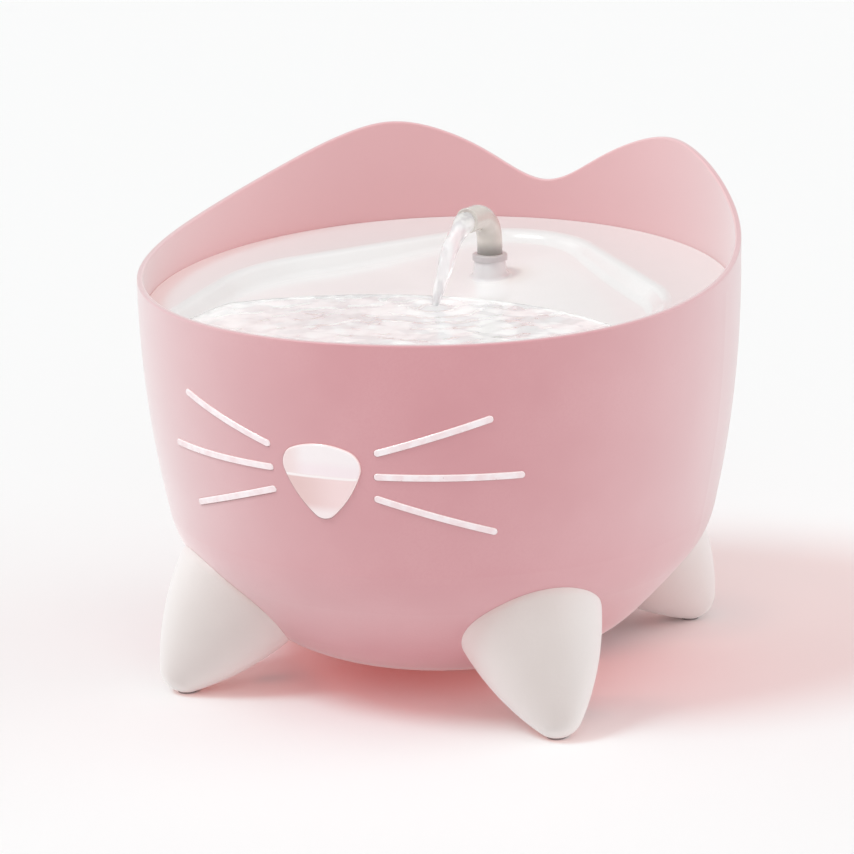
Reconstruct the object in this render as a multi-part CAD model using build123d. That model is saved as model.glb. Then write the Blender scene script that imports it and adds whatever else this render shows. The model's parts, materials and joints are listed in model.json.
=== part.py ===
"""Pet water fountain: a round bowl with ear-shaped rim, a lift-out drinking tray with a swivel
spout, and a pump with its filter standing on the bowl's floor. Millimetres, +Z up, the nose
window faces -Y, and the origin is on the floor under the bowl's axis."""
from build123d import *
from math import acos, atan, atan2, cos, degrees, hypot, pi, radians, sin, sqrt, tan
import os

# ---- bowl ------------------------------------------------------------------------------------
BOWL_RADIUS = 133.0          # outside radius of the upright wall
BOWL_FLOOR_Z = 10.9          # underside of the bowl above the floor
BOWL_WALL = 2.8
# The belly's arcs from the flat underside up: radius as a share of the bowl's, steepness at
# the arc's end in degrees. The flat underside takes what they leave of the radius.
BELLY = ((0.4634, 45.86), (3.009, 50.64), (0.3357, 77.75), (3.694, 90.0))
RIM_FRONT_DROP = 1.7         # rim over the nose, below the height where the wall is upright
EAR_RISE = 45.4              # ear tips above the front rim
RIM_ROUND = 0.9              # radius on the rim's two edges
# Rim line: angle from the nose, share of the ear rise. The other side is its mirror image.
RIM_LINE = ((0, 0.0), (50, 0.03), (80, 0.14), (105, 0.35), (125, 0.66), (139, 0.915),
            (148, 1.0), (158, 0.905), (169, 0.64), (180, 0.40))

# ---- drinking tray ---------------------------------------------------------------------------
DECK_DROP = 8.5              # top of the tray on the bowl's axis, below the front rim
DECK_SLOPE = 0.0623          # the tray rises this much per millimetre towards the back
TRAY_WALL = 2.2
TRAY_GAP = 0.35              # all round, between the tray's edge and the bowl
LEDGE_WIDTH = 3.4            # ledge inside the bowl that the tray rests on
LEDGE_DEPTH = 4.0
REST_GAP = 0.05              # between faces that rest on each other
SKIRT_DEPTH = 9.0            # ring under the tray that centres it inside the ledge
SKIRT_WALL = 1.8
SKIRT_GAP = 0.35
RIB_COUNT = 12
RIB_WALL = 1.6
RIB_LENGTH = 50.0
RIB_SHORTER = 3.0            # the ribs end this far above the skirt's edge
BASIN_BACK_Y, BASIN_BACK_RADIUS = 58.0, 46.0       # arc round the spout
BASIN_SIDE_X, BASIN_SIDE_Y, BASIN_SIDE_RADIUS = 40.0, -5.0, 59.6
BASIN_FRONT_RADIUS = 116.5   # arc along the front of the bowl
BASIN_CORNER_RADIUS = 34.0
BASIN_DRAFT = 40.0           # slope of the basin's side, degrees from upright
BASIN_TOP_ROUND, BASIN_FLOOR_ROUND = 6.0, 6.0
BASIN_PLAN_DEPTH = 5.0       # the plan is drawn this far below the deck
DISH_RADIUS = 1150.0         # the basin's floor is part of a very large sphere
DISH_LOW_Y = -100.0          # lowest point of the floor
DISH_DEPTH = 16.1            # of that point below the deck on the bowl's axis
OVERFLOW_RADIUS = 119.6      # row of slots that sets the water level
OVERFLOW_WIDTH = 1.8
OVERFLOW_COUNT = 5
OVERFLOW_ARC, OVERFLOW_PITCH = 8.0, 11.0           # degrees

# ---- spout -----------------------------------------------------------------------------------
SPOUT_Y = 60.5               # upright axis of post and spout
POST_TOP_RADIUS, POST_FOOT_RADIUS, POST_HEIGHT = 7.0, 8.5, 11.0
POST_BORE_RADIUS = 5.1
POST_SLEEVE_WALL = 2.4       # round the bore where it passes below the basin
POST_SEAT = 2.0              # thickness of the ring under the neck
NECK_ROOM = 1.0              # between the neck's end and that ring
STUB_WALL = 1.1              # hose stub under the post
POST_FOOT_ROUND = 2.0
STUB_DROP = 28.3             # stub's end below the deck on the bowl's axis
COLLAR_RADIUS, COLLAR_HEIGHT = 8.0, 1.9
COLLAR_LIP = 0.9             # the collar's skirt round the top of the post
COLLAR_FIT = 0.25            # between that skirt and the post
COLLAR_ROUND = 0.8
TUBE_RADIUS, TUBE_BORE_RADIUS = 5.8, 4.2
NECK_BORE_RADIUS = 2.6
SPOUT_HEIGHT = 26.5          # above the deck at the post
SPOUT_BEND = 13.0            # centreline radius
SPOUT_REACH = 20.5           # from the axis to the mouth
SPOUT_TURN = 8.0             # the mouth points this many degrees off the front, towards -X
SPOUT_NECK = 15.0            # length of the thinner neck inside the post
MOUTH_ROUND = 0.6
RUNNING_GAP = 0.06           # radial, between parts that turn or slide in each other
O_RING_THICKNESS = 1.5
O_RING_GAP = 0.03            # radial, on both sides of the ring
GROOVE_WIDTH = 2.0

# ---- nose, whiskers --------------------------------------------------------------------------
NOSE_DROP = 58.8             # middle of the nose below the front rim
# The nose is three round corners joined by bulging arcs; heights are from its middle.
NOSE_CORNER_X, NOSE_CORNER_Z, NOSE_CORNER_RADIUS = 9.8, 5.4, 8.0
NOSE_TIP_Z, NOSE_TIP_RADIUS = -12.5, 6.0
NOSE_TOP_ARC, NOSE_SIDE_ARC = 34.2, 50.0
NOSE_GAP = 0.12
NOSE_PROUD = 0.9             # the window stands this far out of the wall
NOSE_ROUND = 0.8             # radius along its front edge
NOSE_FLANGE = 3.2            # flange behind the wall, all round
NOSE_SEAL = 1.2
NOSE_PLATE = 1.6
WHISKER_WIDTH = 3.3
WHISKER_DEPTH = 1.5
WHISKER_PROUD = 0.55
WHISKER_ROUND = 0.5          # radius along the front edges
WHISKER_GAP = 0.1
# Each whisker: name, start and end as distance round the bowl and height from the nose's middle.
WHISKERS = (("top", (24.3, 12.6), (71.0, 27.0)),
            ("middle", (24.0, 2.1), (84.0, 1.8)),
            ("bottom", (24.0, -7.8), (72.0, -22.8)))
WHISKER_WALL_SHARE = 0.965   # radius of the wall at the whiskers, as a share of the bowl's

# ---- legs ------------------------------------------------------------------------------------
LEG_ANGLES = {"front_right": -45, "front_left": -135, "rear_left": 135, "rear_right": 45}
FOOT_INSET = 9.8             # middle of each foot inside the bowl's radius
FOOT_ROUND = 11.7            # radius of the rounded toe
LEG_LEAN = 40.1              # degrees from upright
LEG_LENGTH = 39.3            # from the toe's centre to the end of the flank
LEG_WIDE = 31.2              # radius there
LEG_FLARE = 37.3             # the flank leaves the toe this steeply, then curves in
LEG_SHOULDER = 7.3           # radius of the shoulder that turns in under the bowl
LEG_WALL = 3.0
LEG_SOLE = 10.7              # the toe is solid up to this height
LEG_GAP = 0.05
SCREW_SHARE = 0.752          # each leg screw's distance from the axis, as a share of the radius
BOSS_RADIUS, BOSS_LENGTH = 4.5, 16.0
COLUMN_RADIUS = 7.0
COLUMN_WEB = 4.5             # under the boss, between it and the screw's head
SCREW_SHANK, SCREW_HEAD, SCREW_HEAD_HEIGHT = 1.5, 3.0, 2.2
SCREW_GRIP = 11.0            # of the screw inside the boss
SCREW_HOLE = 1.7
SCREW_PLAY = 0.03            # radial, between the screw and its hole in the boss
SCREW_DRIVE = 1.1            # depth of the cross in the head
DRIVE_LENGTH, DRIVE_WIDTH = 3.2, 0.8
COUNTERBORE = 3.6
PAD_RADIUS, PAD_HEIGHT, PAD_PROUD = 4.2, 2.6, 0.9
PAD_ROUND = 0.5

# ---- cable grommet ---------------------------------------------------------------------------
GROMMET_DROP = 27.8          # below the front rim
GROMMET_HOLE = 5.5           # half the height of the oval hole
GROMMET_LONGER = 6.0         # hole and flanges are this much wider than high, so that a plug passes
GROMMET_FLANGE = 8.0         # half the height of both flanges
GROMMET_SINK = 1.2           # the outer flange sits in a recess this deep
GROMMET_INNER = 2.2          # thickness of the inner flange
GROMMET_FLUSH = 0.1          # the outer flange stays this far below the wall's surface
GROMMET_BORE = 2.1           # passes the pump's low-voltage lead

# ---- filter housing and pump -----------------------------------------------------------------
HOUSING_RADIUS = 46.0
HOUSING_BACK_Y = 64.0        # its back stays this near, clear of the bowl's rising belly
HOUSING_WALL = 2.0
HOUSING_BASE_Z, HOUSING_TOP_Z = 19.0, 62.0
HOUSING_ROUND = 3.0
NOTCH_WIDTH, NOTCH_HEIGHT, NOTCH_TOP = 6.0, 10.0, 7.0        # way out for the pump's lead
CUP_RADIUS, CUP_NECK, CUP_RING, CUP_HEIGHT = 8.0, 3.0, 30.0, 8.0
CUP_HEAD, CUP_HEAD_HEIGHT = 4.0, 1.4                         # button inside the housing
CUP_GAP = 0.3
LID_GAP = 0.4
LID_WALL = 1.8
LID_SKIRT = 6.0
LID_ROUND = 1.2
LID_TRAY_HEIGHT = 13.0
SLEEVE_RADIUS = 9.5          # clear way for the hose through lid and cartridge
SLEEVE_HIGHER = 1.0          # the sleeve's top above the rim of the lid's tray
GRILLE_SLOTS = 20
GRILLE_SLOT_WIDTH = 2.4
GRILLE_MARGIN = 5.0          # plain ring inside and outside the lid's slots
CARTRIDGE_GAP = 0.5
CARTRIDGE_WALL = 1.2
CARTRIDGE_HEIGHT = 14.0
CARTRIDGE_ROUND = 0.8
CARTRIDGE_MARGIN = 3.0       # plain ring inside and outside the cage's slots
CARTRIDGE_BAR = 2.4          # width of the three bars under the foam
MEDIA_GAP = 0.3
PUMP_X, PUMP_Z = -7.0, 38.0  # impeller axis, which runs along Y
PUMP_WIDTH, PUMP_HEIGHT = 38.0, 30.0
PUMP_FRONT, MOTOR_FRONT, MOTOR_BACK = -6.0, 6.0, 32.0        # along Y from the housing's axis
PUMP_ROUND, PUMP_BACK_ROUND = 4.0, 2.0
PEG_RADIUS, PEG_SPREAD_X, PEG_SPREAD_Y = 2.5, 12.0, 9.0
CHAMBER_RADIUS, CHAMBER_WALL = 12.0, 3.0
WELL_RADIUS, WELL_DEPTH = 6.8, 21.0
ROTOR_RADIUS, ROTOR_CORE, ROTOR_HUB = 6.2, 4.7, 3.2          # magnet, the waist before it, hub
BLADE_TIP, BLADE_ROOT, BLADE_COUNT = 10.5, 2.5, 6
BLADE_WALL = 1.2
BLADE_FRONT_GAP = 1.6        # between the blades and the front of the chamber
DISC_GAP = 0.5               # between the impeller's disc and the motor's face
MAGNET_START, MAGNET_END = 0.8, 3.5    # from the motor's face, and from the end of the well
SHAFT_RADIUS, SHAFT_SHORTER = 1.15, 0.5
BUSH_RADIUS, BUSH_DEPTH, BUSH_GAP = 3.0, 3.0, 0.5
BUSH_WALL = 1.6              # boss round the front bush
BUSH_END = 0.2               # of each bush, beyond the shaft's end
COVER_DEPTH, COVER_WALL, COVER_ROUND = 6.0, 2.0, 1.5
INTAKE_HOLES, INTAKE_HOLE_RADIUS, INTAKE_RING = 8, 1.5, 6.4
PIVOT_RADIUS, PIVOT_LENGTH = 1.8, 3.4                        # pin the flow dial turns on
PIVOT_HEAD_RADIUS, PIVOT_HEAD = 2.8, 0.8
KNOB_RADIUS, KNOB_WALL, KNOB_GAP = 9.0, 1.8, 0.4
LEVER_WIDTH, LEVER_LENGTH, LEVER_ROUND = 3.4, 8.0, 1.2
OUTLET_BORE = 2.6
PUMP_STUB_TOP_Z = 66.0
HOSE_BORE, HOSE_WALL = 4.5, 2.0
HOSE_START_Z = 55.0
HOSE_LOW_RISE, HOSE_HIGH_DROP = 18.0, 12.0         # route's corners from the two stubs' ends
HOSE_BEND = 24.0
HOSE_OVERLAP = 10.0          # on the stub under the tray
SPONGE_DEPTH, SPONGE_HEIGHT, SPONGE_WIDTH = 9.0, 30.0, 52.0
SPONGE_ROUND, SPONGE_BACK = 3.0, 9.0               # its front stands this far inside the housing
BITE = 1.0                   # how far pieces of one solid reach into each other, and cutters past
THROUGH = 30.0               # how far shapes cut through the bowl's wall reach to both sides of it


def belly_arcs(inset=0.0):
    """The belly's arcs as (centre out, centre up, radius, steepness at start and end)."""
    ends = [0.0] + [end for _, end in BELLY]
    spans = [share * (sin(radians(end)) - sin(radians(start))) for (share, end), start in zip(BELLY, ends)]
    out, up, steep = BOWL_RADIUS * (1 - sum(spans)), BOWL_FLOOR_Z, 0.0
    arcs = []
    for share, end in BELLY:
        radius = BOWL_RADIUS * share
        centre = (out - radius * sin(radians(steep)), up + radius * cos(radians(steep)))
        arcs.append((*centre, radius - inset, steep, end))
        out, up = centre[0] + radius * sin(radians(end)), centre[1] - radius * cos(radians(end))
        steep = end
    return arcs


def on_arc(arc, steep):
    out, up, radius, _, _ = arc
    return out + radius * sin(radians(steep)), 0, up - radius * cos(radians(steep))


def belly_z(out):
    """Height of the bowl's underside this far from the axis."""
    for arc in belly_arcs():
        if out <= on_arc(arc, arc[4])[0]:
            return arc[1] - sqrt(arc[2] ** 2 - (out - arc[0]) ** 2)
    return UPRIGHT_Z


UPRIGHT_Z = on_arc(belly_arcs()[-1], BELLY[-1][1])[2]
RIM_FRONT_Z = UPRIGHT_Z - RIM_FRONT_DROP
DECK_Z = RIM_FRONT_Z - DECK_DROP
DISH_LOW_Z = DECK_Z - DISH_DEPTH
STUB_END_Z = DECK_Z - STUB_DROP
NOSE_Z = RIM_FRONT_Z - NOSE_DROP
GROMMET_Z = RIM_FRONT_Z - GROMMET_DROP
FOOT_RADIUS = BOWL_RADIUS - FOOT_INSET
SCREW_RADIUS_AT = BOWL_RADIUS * SCREW_SHARE
BOSS_END_Z = belly_z(SCREW_RADIUS_AT) - BOSS_LENGTH
COLUMN_SEAT_Z = BOSS_END_Z - COLUMN_WEB            # face that the screw's head pulls on
SCREW_END_Z = BOSS_END_Z + SCREW_GRIP
HOUSING_Y = HOUSING_BACK_Y - HOUSING_RADIUS        # upright axis of housing, cartridge and outlet
PUMP_FRONT_Y, MOTOR_FRONT_Y = HOUSING_Y + PUMP_FRONT, HOUSING_Y + MOTOR_FRONT
MOTOR_BACK_Y = HOUSING_Y + MOTOR_BACK
TOP_Z = RIM_FRONT_Z + EAR_RISE + 20.0              # above everything
FAR = 3 * BOWL_RADIUS                              # beyond everything


# ---- helpers ---------------------------------------------------------------------------------
def bowl_form(inset):
    """Solid of revolution that fills the bowl up to a surface this far inside its outside."""
    arcs = belly_arcs(inset)
    side = [ThreePointArc(on_arc(arc, arc[3]), on_arc(arc, (arc[3] + arc[4]) / 2), on_arc(arc, arc[4]))
            for arc in arcs]
    low, high = on_arc(arcs[0], 0), on_arc(arcs[-1], BELLY[-1][1])
    frame = Polyline(high, (high[0], 0, TOP_Z), (0, 0, TOP_Z), (0, 0, low[2]), low)
    return revolve(make_face(side + frame.edges()), Axis.Z)


def deck_plane(below=0.0):
    """Plane of the tray's top, or one this far below it, low at the front."""
    lean = atan(DECK_SLOPE)
    return Plane(origin=(0, 0, DECK_Z - below), x_dir=(1, 0, 0), z_dir=(0, -sin(lean), cos(lean)))


def deck_z(y, below=0.0):
    return DECK_Z - below + DECK_SLOPE * y


def under_deck(below, depth, radius=FAR):
    """Everything between two planes parallel to the deck, inside an upright cylinder."""
    slab = extrude(deck_plane(below + depth) * Circle(FAR), amount=depth, dir=(0, 0, 1))
    return slab & Pos(0, 0, DECK_Z) * Cylinder(radius, 4 * BOWL_RADIUS)


def rod(radius, low, high, x=0.0, y=0.0):
    """Upright cylinder between two heights."""
    return Pos(x, y, (low + high) / 2) * Cylinder(radius, high - low)


def tube(outer, inner, low, high, x=0.0, y=0.0):
    return rod(outer, low, high, x, y) - rod(inner, low - BITE, high + BITE, x, y)


def axle(radius, front, back, x=0.0, z=0.0):
    """Cylinder along Y."""
    return Pos(x, (front + back) / 2, z) * Rot(X=90) * Cylinder(radius, back - front)


def save(shape, name):
    """Write one node; identical pieces share a node as separate solids."""
    solids = shape.solids()
    export_step(solids[0] if len(solids) == 1 else Compound(children=solids), f"parts/{name}.step")


# ---- bowl ------------------------------------------------------------------------------------
def rim_cutter():
    """Everything above the rim line, as a prism over a surface level along each radius."""
    rings = []
    mirrored = [(360 - angle, share) for angle, share in RIM_LINE[-2:0:-1]]
    for radius in (BOWL_RADIUS - THROUGH, BOWL_RADIUS + THROUGH):
        points = []
        for angle, share in RIM_LINE + tuple(mirrored):
            turn = radians(angle)
            height = RIM_FRONT_Z + EAR_RISE * share
            points.append((radius * sin(turn), -radius * cos(turn), height))
        rings.append(Spline(*points, periodic=True).edges()[0])
    return extrude(Face.make_surface_from_curves(*rings), amount=FAR, dir=(0, 0, 1))


def bulge_centre(first, second, first_reach, second_reach):
    """Centre of an arc that touches two corner circles from outside, to the left of the
    line from first to second."""
    gap = hypot(second[0] - first[0], second[1] - first[1])
    along = (gap ** 2 + first_reach ** 2 - second_reach ** 2) / (2 * gap)
    aside = sqrt(first_reach ** 2 - along ** 2)
    way = ((second[0] - first[0]) / gap, (second[1] - first[1]) / gap)
    return first[0] + along * way[0] - aside * way[1], first[1] + along * way[1] + aside * way[0]


def nose_outline(grow=0.0):
    corner, tip = (NOSE_CORNER_X, NOSE_Z + NOSE_CORNER_Z), (0, NOSE_Z + NOSE_TIP_Z)
    mirrored = (-corner[0], corner[1])
    top_reach = NOSE_TOP_ARC - NOSE_CORNER_RADIUS
    top = bulge_centre(mirrored, corner, top_reach, top_reach)
    top = (0, 2 * corner[1] - top[1])
    side = bulge_centre(tip, corner, NOSE_SIDE_ARC - NOSE_TIP_RADIUS, NOSE_SIDE_ARC - NOSE_CORNER_RADIUS)
    heading = [degrees(atan2(there[1] - here[1], there[0] - here[0])) for here, there in
               ((top, corner), (side, corner), (side, tip))]
    half = [CenterArc(top, NOSE_TOP_ARC + grow, 90, heading[0] - 90),
            CenterArc(corner, NOSE_CORNER_RADIUS + grow, heading[0], heading[1] - heading[0]),
            CenterArc(side, NOSE_SIDE_ARC + grow, heading[1], heading[2] - heading[1]),
            CenterArc(tip, NOSE_TIP_RADIUS + grow, heading[2], -90 - heading[2])]
    right = Curve() + half
    return make_face((right + mirror(right, about=Plane.YZ)).edges())


def nose_prism(grow=0.0):
    """The nose's outline carried along Y through the front wall."""
    sketch = Plane.XZ * nose_outline(grow)
    return extrude(sketch, amount=BOWL_RADIUS + THROUGH) - rod(BOWL_RADIUS - THROUGH, 0, TOP_Z)


def whisker_bar(start, end, narrower=0.0):
    """A round-ended bar through the right-hand wall, square to it at the whisker's middle."""
    (near, near_z), (far, far_z) = start, end
    wall_radius = BOWL_RADIUS * WHISKER_WALL_SHARE
    middle = (near + far) / 2 / wall_radius
    reach = 2 * wall_radius * sin((far - near) / 2 / wall_radius)
    out = Vector(sin(middle), -cos(middle), 0)
    along = Vector(cos(middle), sin(middle), 0)
    base = out * (BOWL_RADIUS - THROUGH) + Vector(0, 0, NOSE_Z + (near_z + far_z) / 2)
    length, rise = hypot(reach, far_z - near_z), degrees(atan2(far_z - near_z, reach))
    bar = Rot(Z=rise) * SlotCenterToCenter(length, WHISKER_WIDTH - 2 * narrower)
    return extrude(Plane(origin=base, x_dir=along, z_dir=out) * bar, amount=2 * THROUGH)


def in_wall(prism, shallow, deep):
    """The part of a prism that lies between two distances from the bowl's outside."""
    return (prism & bowl_form(shallow)) - bowl_form(deep)


def crowned(piece, proud, radius):
    """Round a piece's edges where they stand out of the bowl's wall."""
    wall = bowl_form(-proud / 2).solid()
    return fillet(piece.edges().filter_by(lambda edge: not wall.is_inside(edge.position_at(0.5))), radius)


def leg_post_place(angle):
    return SCREW_RADIUS_AT * cos(radians(angle)), SCREW_RADIUS_AT * sin(radians(angle))


def make_bowl():
    cavity = bowl_form(BOWL_WALL)
    bowl = bowl_form(0) - cavity - rim_cutter()
    rim = bowl.edges().filter_by(lambda edge: edge.center().Z > RIM_FRONT_Z)
    bowl = fillet(rim, RIM_ROUND)
    ledge_top = TRAY_WALL + REST_GAP
    ledge = under_deck(ledge_top, LEDGE_DEPTH, BOWL_RADIUS - BOWL_WALL / 2)
    bowl += ledge - rod(BOWL_RADIUS - BOWL_WALL - LEDGE_WIDTH, 0, TOP_Z)
    for angle in LEG_ANGLES.values():
        x, y = leg_post_place(angle)
        bowl += rod(BOSS_RADIUS, BOSS_END_Z, UPRIGHT_Z / 2, x, y) - cavity
        bowl -= rod(SCREW_SHANK, BOSS_END_Z - BITE, SCREW_END_Z + BITE, x, y)
    bowl -= nose_prism()
    for _, start, end in WHISKERS:
        slot = in_wall(whisker_bar(start, end), -BITE, WHISKER_DEPTH)
        bowl -= slot
        bowl -= mirror(slot, about=Plane.YZ)
    bowl -= back_prism(GROMMET_HOLE)
    return bowl - in_wall(back_prism(GROMMET_FLANGE + REST_GAP), -BITE, GROMMET_SINK)


def make_nose():
    back = BOWL_WALL + NOSE_SEAL
    window = in_wall(nose_prism(-NOSE_GAP), -NOSE_PROUD, back + NOSE_PLATE)
    window = crowned(window, NOSE_PROUD, NOSE_ROUND)
    window += in_wall(nose_prism(NOSE_FLANGE), back, back + NOSE_PLATE)
    seal = in_wall(nose_prism(NOSE_FLANGE) - nose_prism(NOSE_GAP), BOWL_WALL + REST_GAP, back - REST_GAP)
    save(window, "nose_window")
    save(seal, "nose_gasket")


def make_whiskers():
    for name, start, end in WHISKERS:
        bar = whisker_bar(start, end, WHISKER_GAP)
        whisker = in_wall(bar, -WHISKER_PROUD, WHISKER_DEPTH - REST_GAP)
        whisker = crowned(whisker, WHISKER_PROUD, WHISKER_ROUND)
        save(whisker, f"whisker_right_{name}")
        save(mirror(whisker, about=Plane.YZ), f"whisker_left_{name}")


def back_prism(radius):
    """Level oval carried along Y through the back wall at the cable grommet."""
    start = Plane(origin=(0, BOWL_RADIUS - THROUGH, GROMMET_Z), x_dir=(1, 0, 0), z_dir=(0, 1, 0))
    return extrude(start * SlotCenterToCenter(GROMMET_LONGER, 2 * radius), amount=2 * THROUGH)


def make_grommet():
    """Grooved oval rubber plug with a round bore, its outer flange flush in the wall."""
    back = BOWL_WALL + GROMMET_INNER
    plug = in_wall(back_prism(GROMMET_HOLE - REST_GAP), GROMMET_FLUSH, back)
    plug += in_wall(back_prism(GROMMET_FLANGE), GROMMET_FLUSH, GROMMET_SINK - REST_GAP)
    plug += in_wall(back_prism(GROMMET_FLANGE), BOWL_WALL + REST_GAP, back)
    bore = axle(GROMMET_BORE, BOWL_RADIUS - THROUGH, BOWL_RADIUS + THROUGH, z=GROMMET_Z)
    save(plug - bore, "cable_grommet")


# ---- legs ------------------------------------------------------------------------------------
def leg_form(inset):
    """Blunt rounded cone about +Z with its toe's centre at the origin, this far inside the leg:
    round toe, bulging flank and a shoulder that turns in again."""
    toe, wide, shoulder = FOOT_ROUND - inset, LEG_WIDE - inset, LEG_SHOULDER - inset
    flare = radians(LEG_FLARE)
    joint = (toe * cos(flare), 0, -toe * sin(flare))
    middle = (toe * sin(flare), 0, -toe * cos(flare))
    tip = ThreePointArc((0, 0, -toe), middle, joint)
    flank = TangentArc(joint, (wide, 0, LEG_LENGTH), tangent=(sin(flare), 0, cos(flare)))
    lean = atan2((flank % 1).X, (flank % 1).Z)
    top = LEG_LENGTH + shoulder * (1 + sin(lean))
    turn = TangentArc((wide, 0, LEG_LENGTH), (wide - shoulder * cos(lean), 0, top), tangent=flank % 1)
    back = Polyline(turn @ 1, (0, 0, top), (0, 0, -toe))
    return revolve(make_face(tip.edges() + flank.edges() + turn.edges() + back.edges()), Axis.Z)


def make_leg():
    """One leg in the X-Z plane, to be turned about the bowl's axis."""
    toe = Pos(FOOT_RADIUS, 0, FOOT_ROUND) * Rot(Y=-LEG_LEAN)
    outside, inside = toe * leg_form(0), toe * leg_form(LEG_WALL)
    column = rod(COLUMN_RADIUS, 0, TOP_Z / 2, SCREW_RADIUS_AT) & outside
    hollow = inside - rod(FAR, -BITE, LEG_SOLE)
    leg = outside - hollow + column
    leg -= rod(BOSS_RADIUS + RUNNING_GAP, BOSS_END_Z - REST_GAP, TOP_Z, SCREW_RADIUS_AT)
    leg -= rod(SCREW_HOLE, 0, TOP_Z, SCREW_RADIUS_AT)
    leg -= rod(COUNTERBORE, -BITE, COLUMN_SEAT_Z, SCREW_RADIUS_AT)
    leg -= rod(PAD_RADIUS + REST_GAP, -BITE, PAD_HEIGHT + REST_GAP, FOOT_RADIUS)
    leg -= Pos(0, 0, PAD_PROUD / 2) * Box(FAR, FAR, PAD_PROUD)
    return leg - bowl_form(-LEG_GAP)


def make_legs():
    leg = make_leg()
    pads, screws = [], []
    for name, angle in LEG_ANGLES.items():
        save(Rot(Z=angle) * leg, f"leg_{name}")
        pad = fillet(rod(PAD_RADIUS, 0, PAD_HEIGHT, FOOT_RADIUS).edges().group_by(Axis.Z)[0], PAD_ROUND)
        pads.append(Rot(Z=angle) * pad)
        head_z = COLUMN_SEAT_Z - REST_GAP
        screw = rod(SCREW_HEAD, head_z - SCREW_HEAD_HEIGHT, head_z, SCREW_RADIUS_AT)
        screw = fillet(screw.edges().group_by(Axis.Z)[0], SCREW_HEAD_HEIGHT / 2)
        screw += rod(SCREW_SHANK - SCREW_PLAY, head_z, SCREW_END_Z, SCREW_RADIUS_AT)
        drive = rod(SCREW_HEAD, 0, head_z - SCREW_HEAD_HEIGHT + SCREW_DRIVE, SCREW_RADIUS_AT)
        cross = Box(DRIVE_LENGTH, DRIVE_WIDTH, FAR) + Box(DRIVE_WIDTH, DRIVE_LENGTH, FAR)
        cross = Pos(SCREW_RADIUS_AT, 0, 0) * cross
        screws.append(Rot(Z=angle) * (screw - (drive & cross)))
    save(Compound(children=pads), "foot_pads")
    save(Compound(children=screws), "leg_screws")


# ---- drinking tray ---------------------------------------------------------------------------
def basin_plan(grow):
    """Plan of the basin grown all round: an arc round the spout, straight flanks, rounded
    sides and a front that runs along the bowl. Every arc keeps its centre as it grows."""
    back, side = BASIN_BACK_RADIUS + grow, BASIN_SIDE_RADIUS + grow
    front, corner = BASIN_FRONT_RADIUS + grow, BASIN_CORNER_RADIUS + grow
    run_x, run_y = BASIN_SIDE_X, BASIN_SIDE_Y - BASIN_BACK_Y
    flank = acos((back - side) / hypot(run_x, run_y)) + atan2(run_y, run_x)
    flank_back = (back * cos(flank), BASIN_BACK_Y + back * sin(flank))
    flank_side = (BASIN_SIDE_X + side * cos(flank), BASIN_SIDE_Y + side * sin(flank))
    corner_x = BASIN_SIDE_X + side - corner
    corner_y = -sqrt((front - corner) ** 2 - corner_x ** 2)
    turn = degrees(atan2(corner_y, corner_x))
    half = [CenterArc((0, BASIN_BACK_Y), back, 90, degrees(flank) - 90),
            Line(flank_back, flank_side),
            CenterArc((BASIN_SIDE_X, BASIN_SIDE_Y), side, degrees(flank), -degrees(flank)),
            Line((corner_x + corner, BASIN_SIDE_Y), (corner_x + corner, corner_y)),
            CenterArc((corner_x, corner_y), corner, 0, turn),
            CenterArc((0, 0), front, turn, -90 - turn)]
    right = Curve() + half
    return make_face((right + mirror(right, about=Plane.YZ)).edges())


def basin_form(grow):
    """What the basin holds, or with its wall added: sloped sides over a dished floor."""
    slope, outward = tan(radians(BASIN_DRAFT)), grow / cos(radians(BASIN_DRAFT))
    above, below = 4.0, 16.0
    top = deck_plane(-above) * basin_plan(outward + (BASIN_PLAN_DEPTH + above) * slope)
    low = deck_plane(below) * basin_plan(outward + (BASIN_PLAN_DEPTH - below) * slope)
    bulb = Pos(0, DISH_LOW_Y, DISH_LOW_Z + DISH_RADIUS) * Sphere(DISH_RADIUS + grow)
    return loft([top, low], ruled=True) & bulb


def basin_hollow():
    basin = basin_form(0)
    floor = basin.edges().filter_by(lambda edge: edge.center().Z < deck_z(edge.center().Y, 3)
                                    and abs(edge.tangent_at(0.5).Z) < 0.2)
    return fillet(floor, BASIN_FLOOR_ROUND)


def tray_plate():
    """Deck and basin as one sheet, its basin's brim rounded over."""
    plate = under_deck(0, TRAY_WALL) & bowl_form(BOWL_WALL + TRAY_GAP)
    plate += basin_form(TRAY_WALL) & under_deck(0, 40)
    plate -= basin_hollow()
    inner = BOWL_RADIUS - BOWL_WALL - LEDGE_WIDTH
    brim = plate.edges().filter_by(lambda edge: abs(edge.center().Z - deck_z(edge.center().Y)) < 0.3
                                   and hypot(edge.position_at(0).X, edge.position_at(0).Y) < inner)
    return fillet(brim, BASIN_TOP_ROUND)


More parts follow.
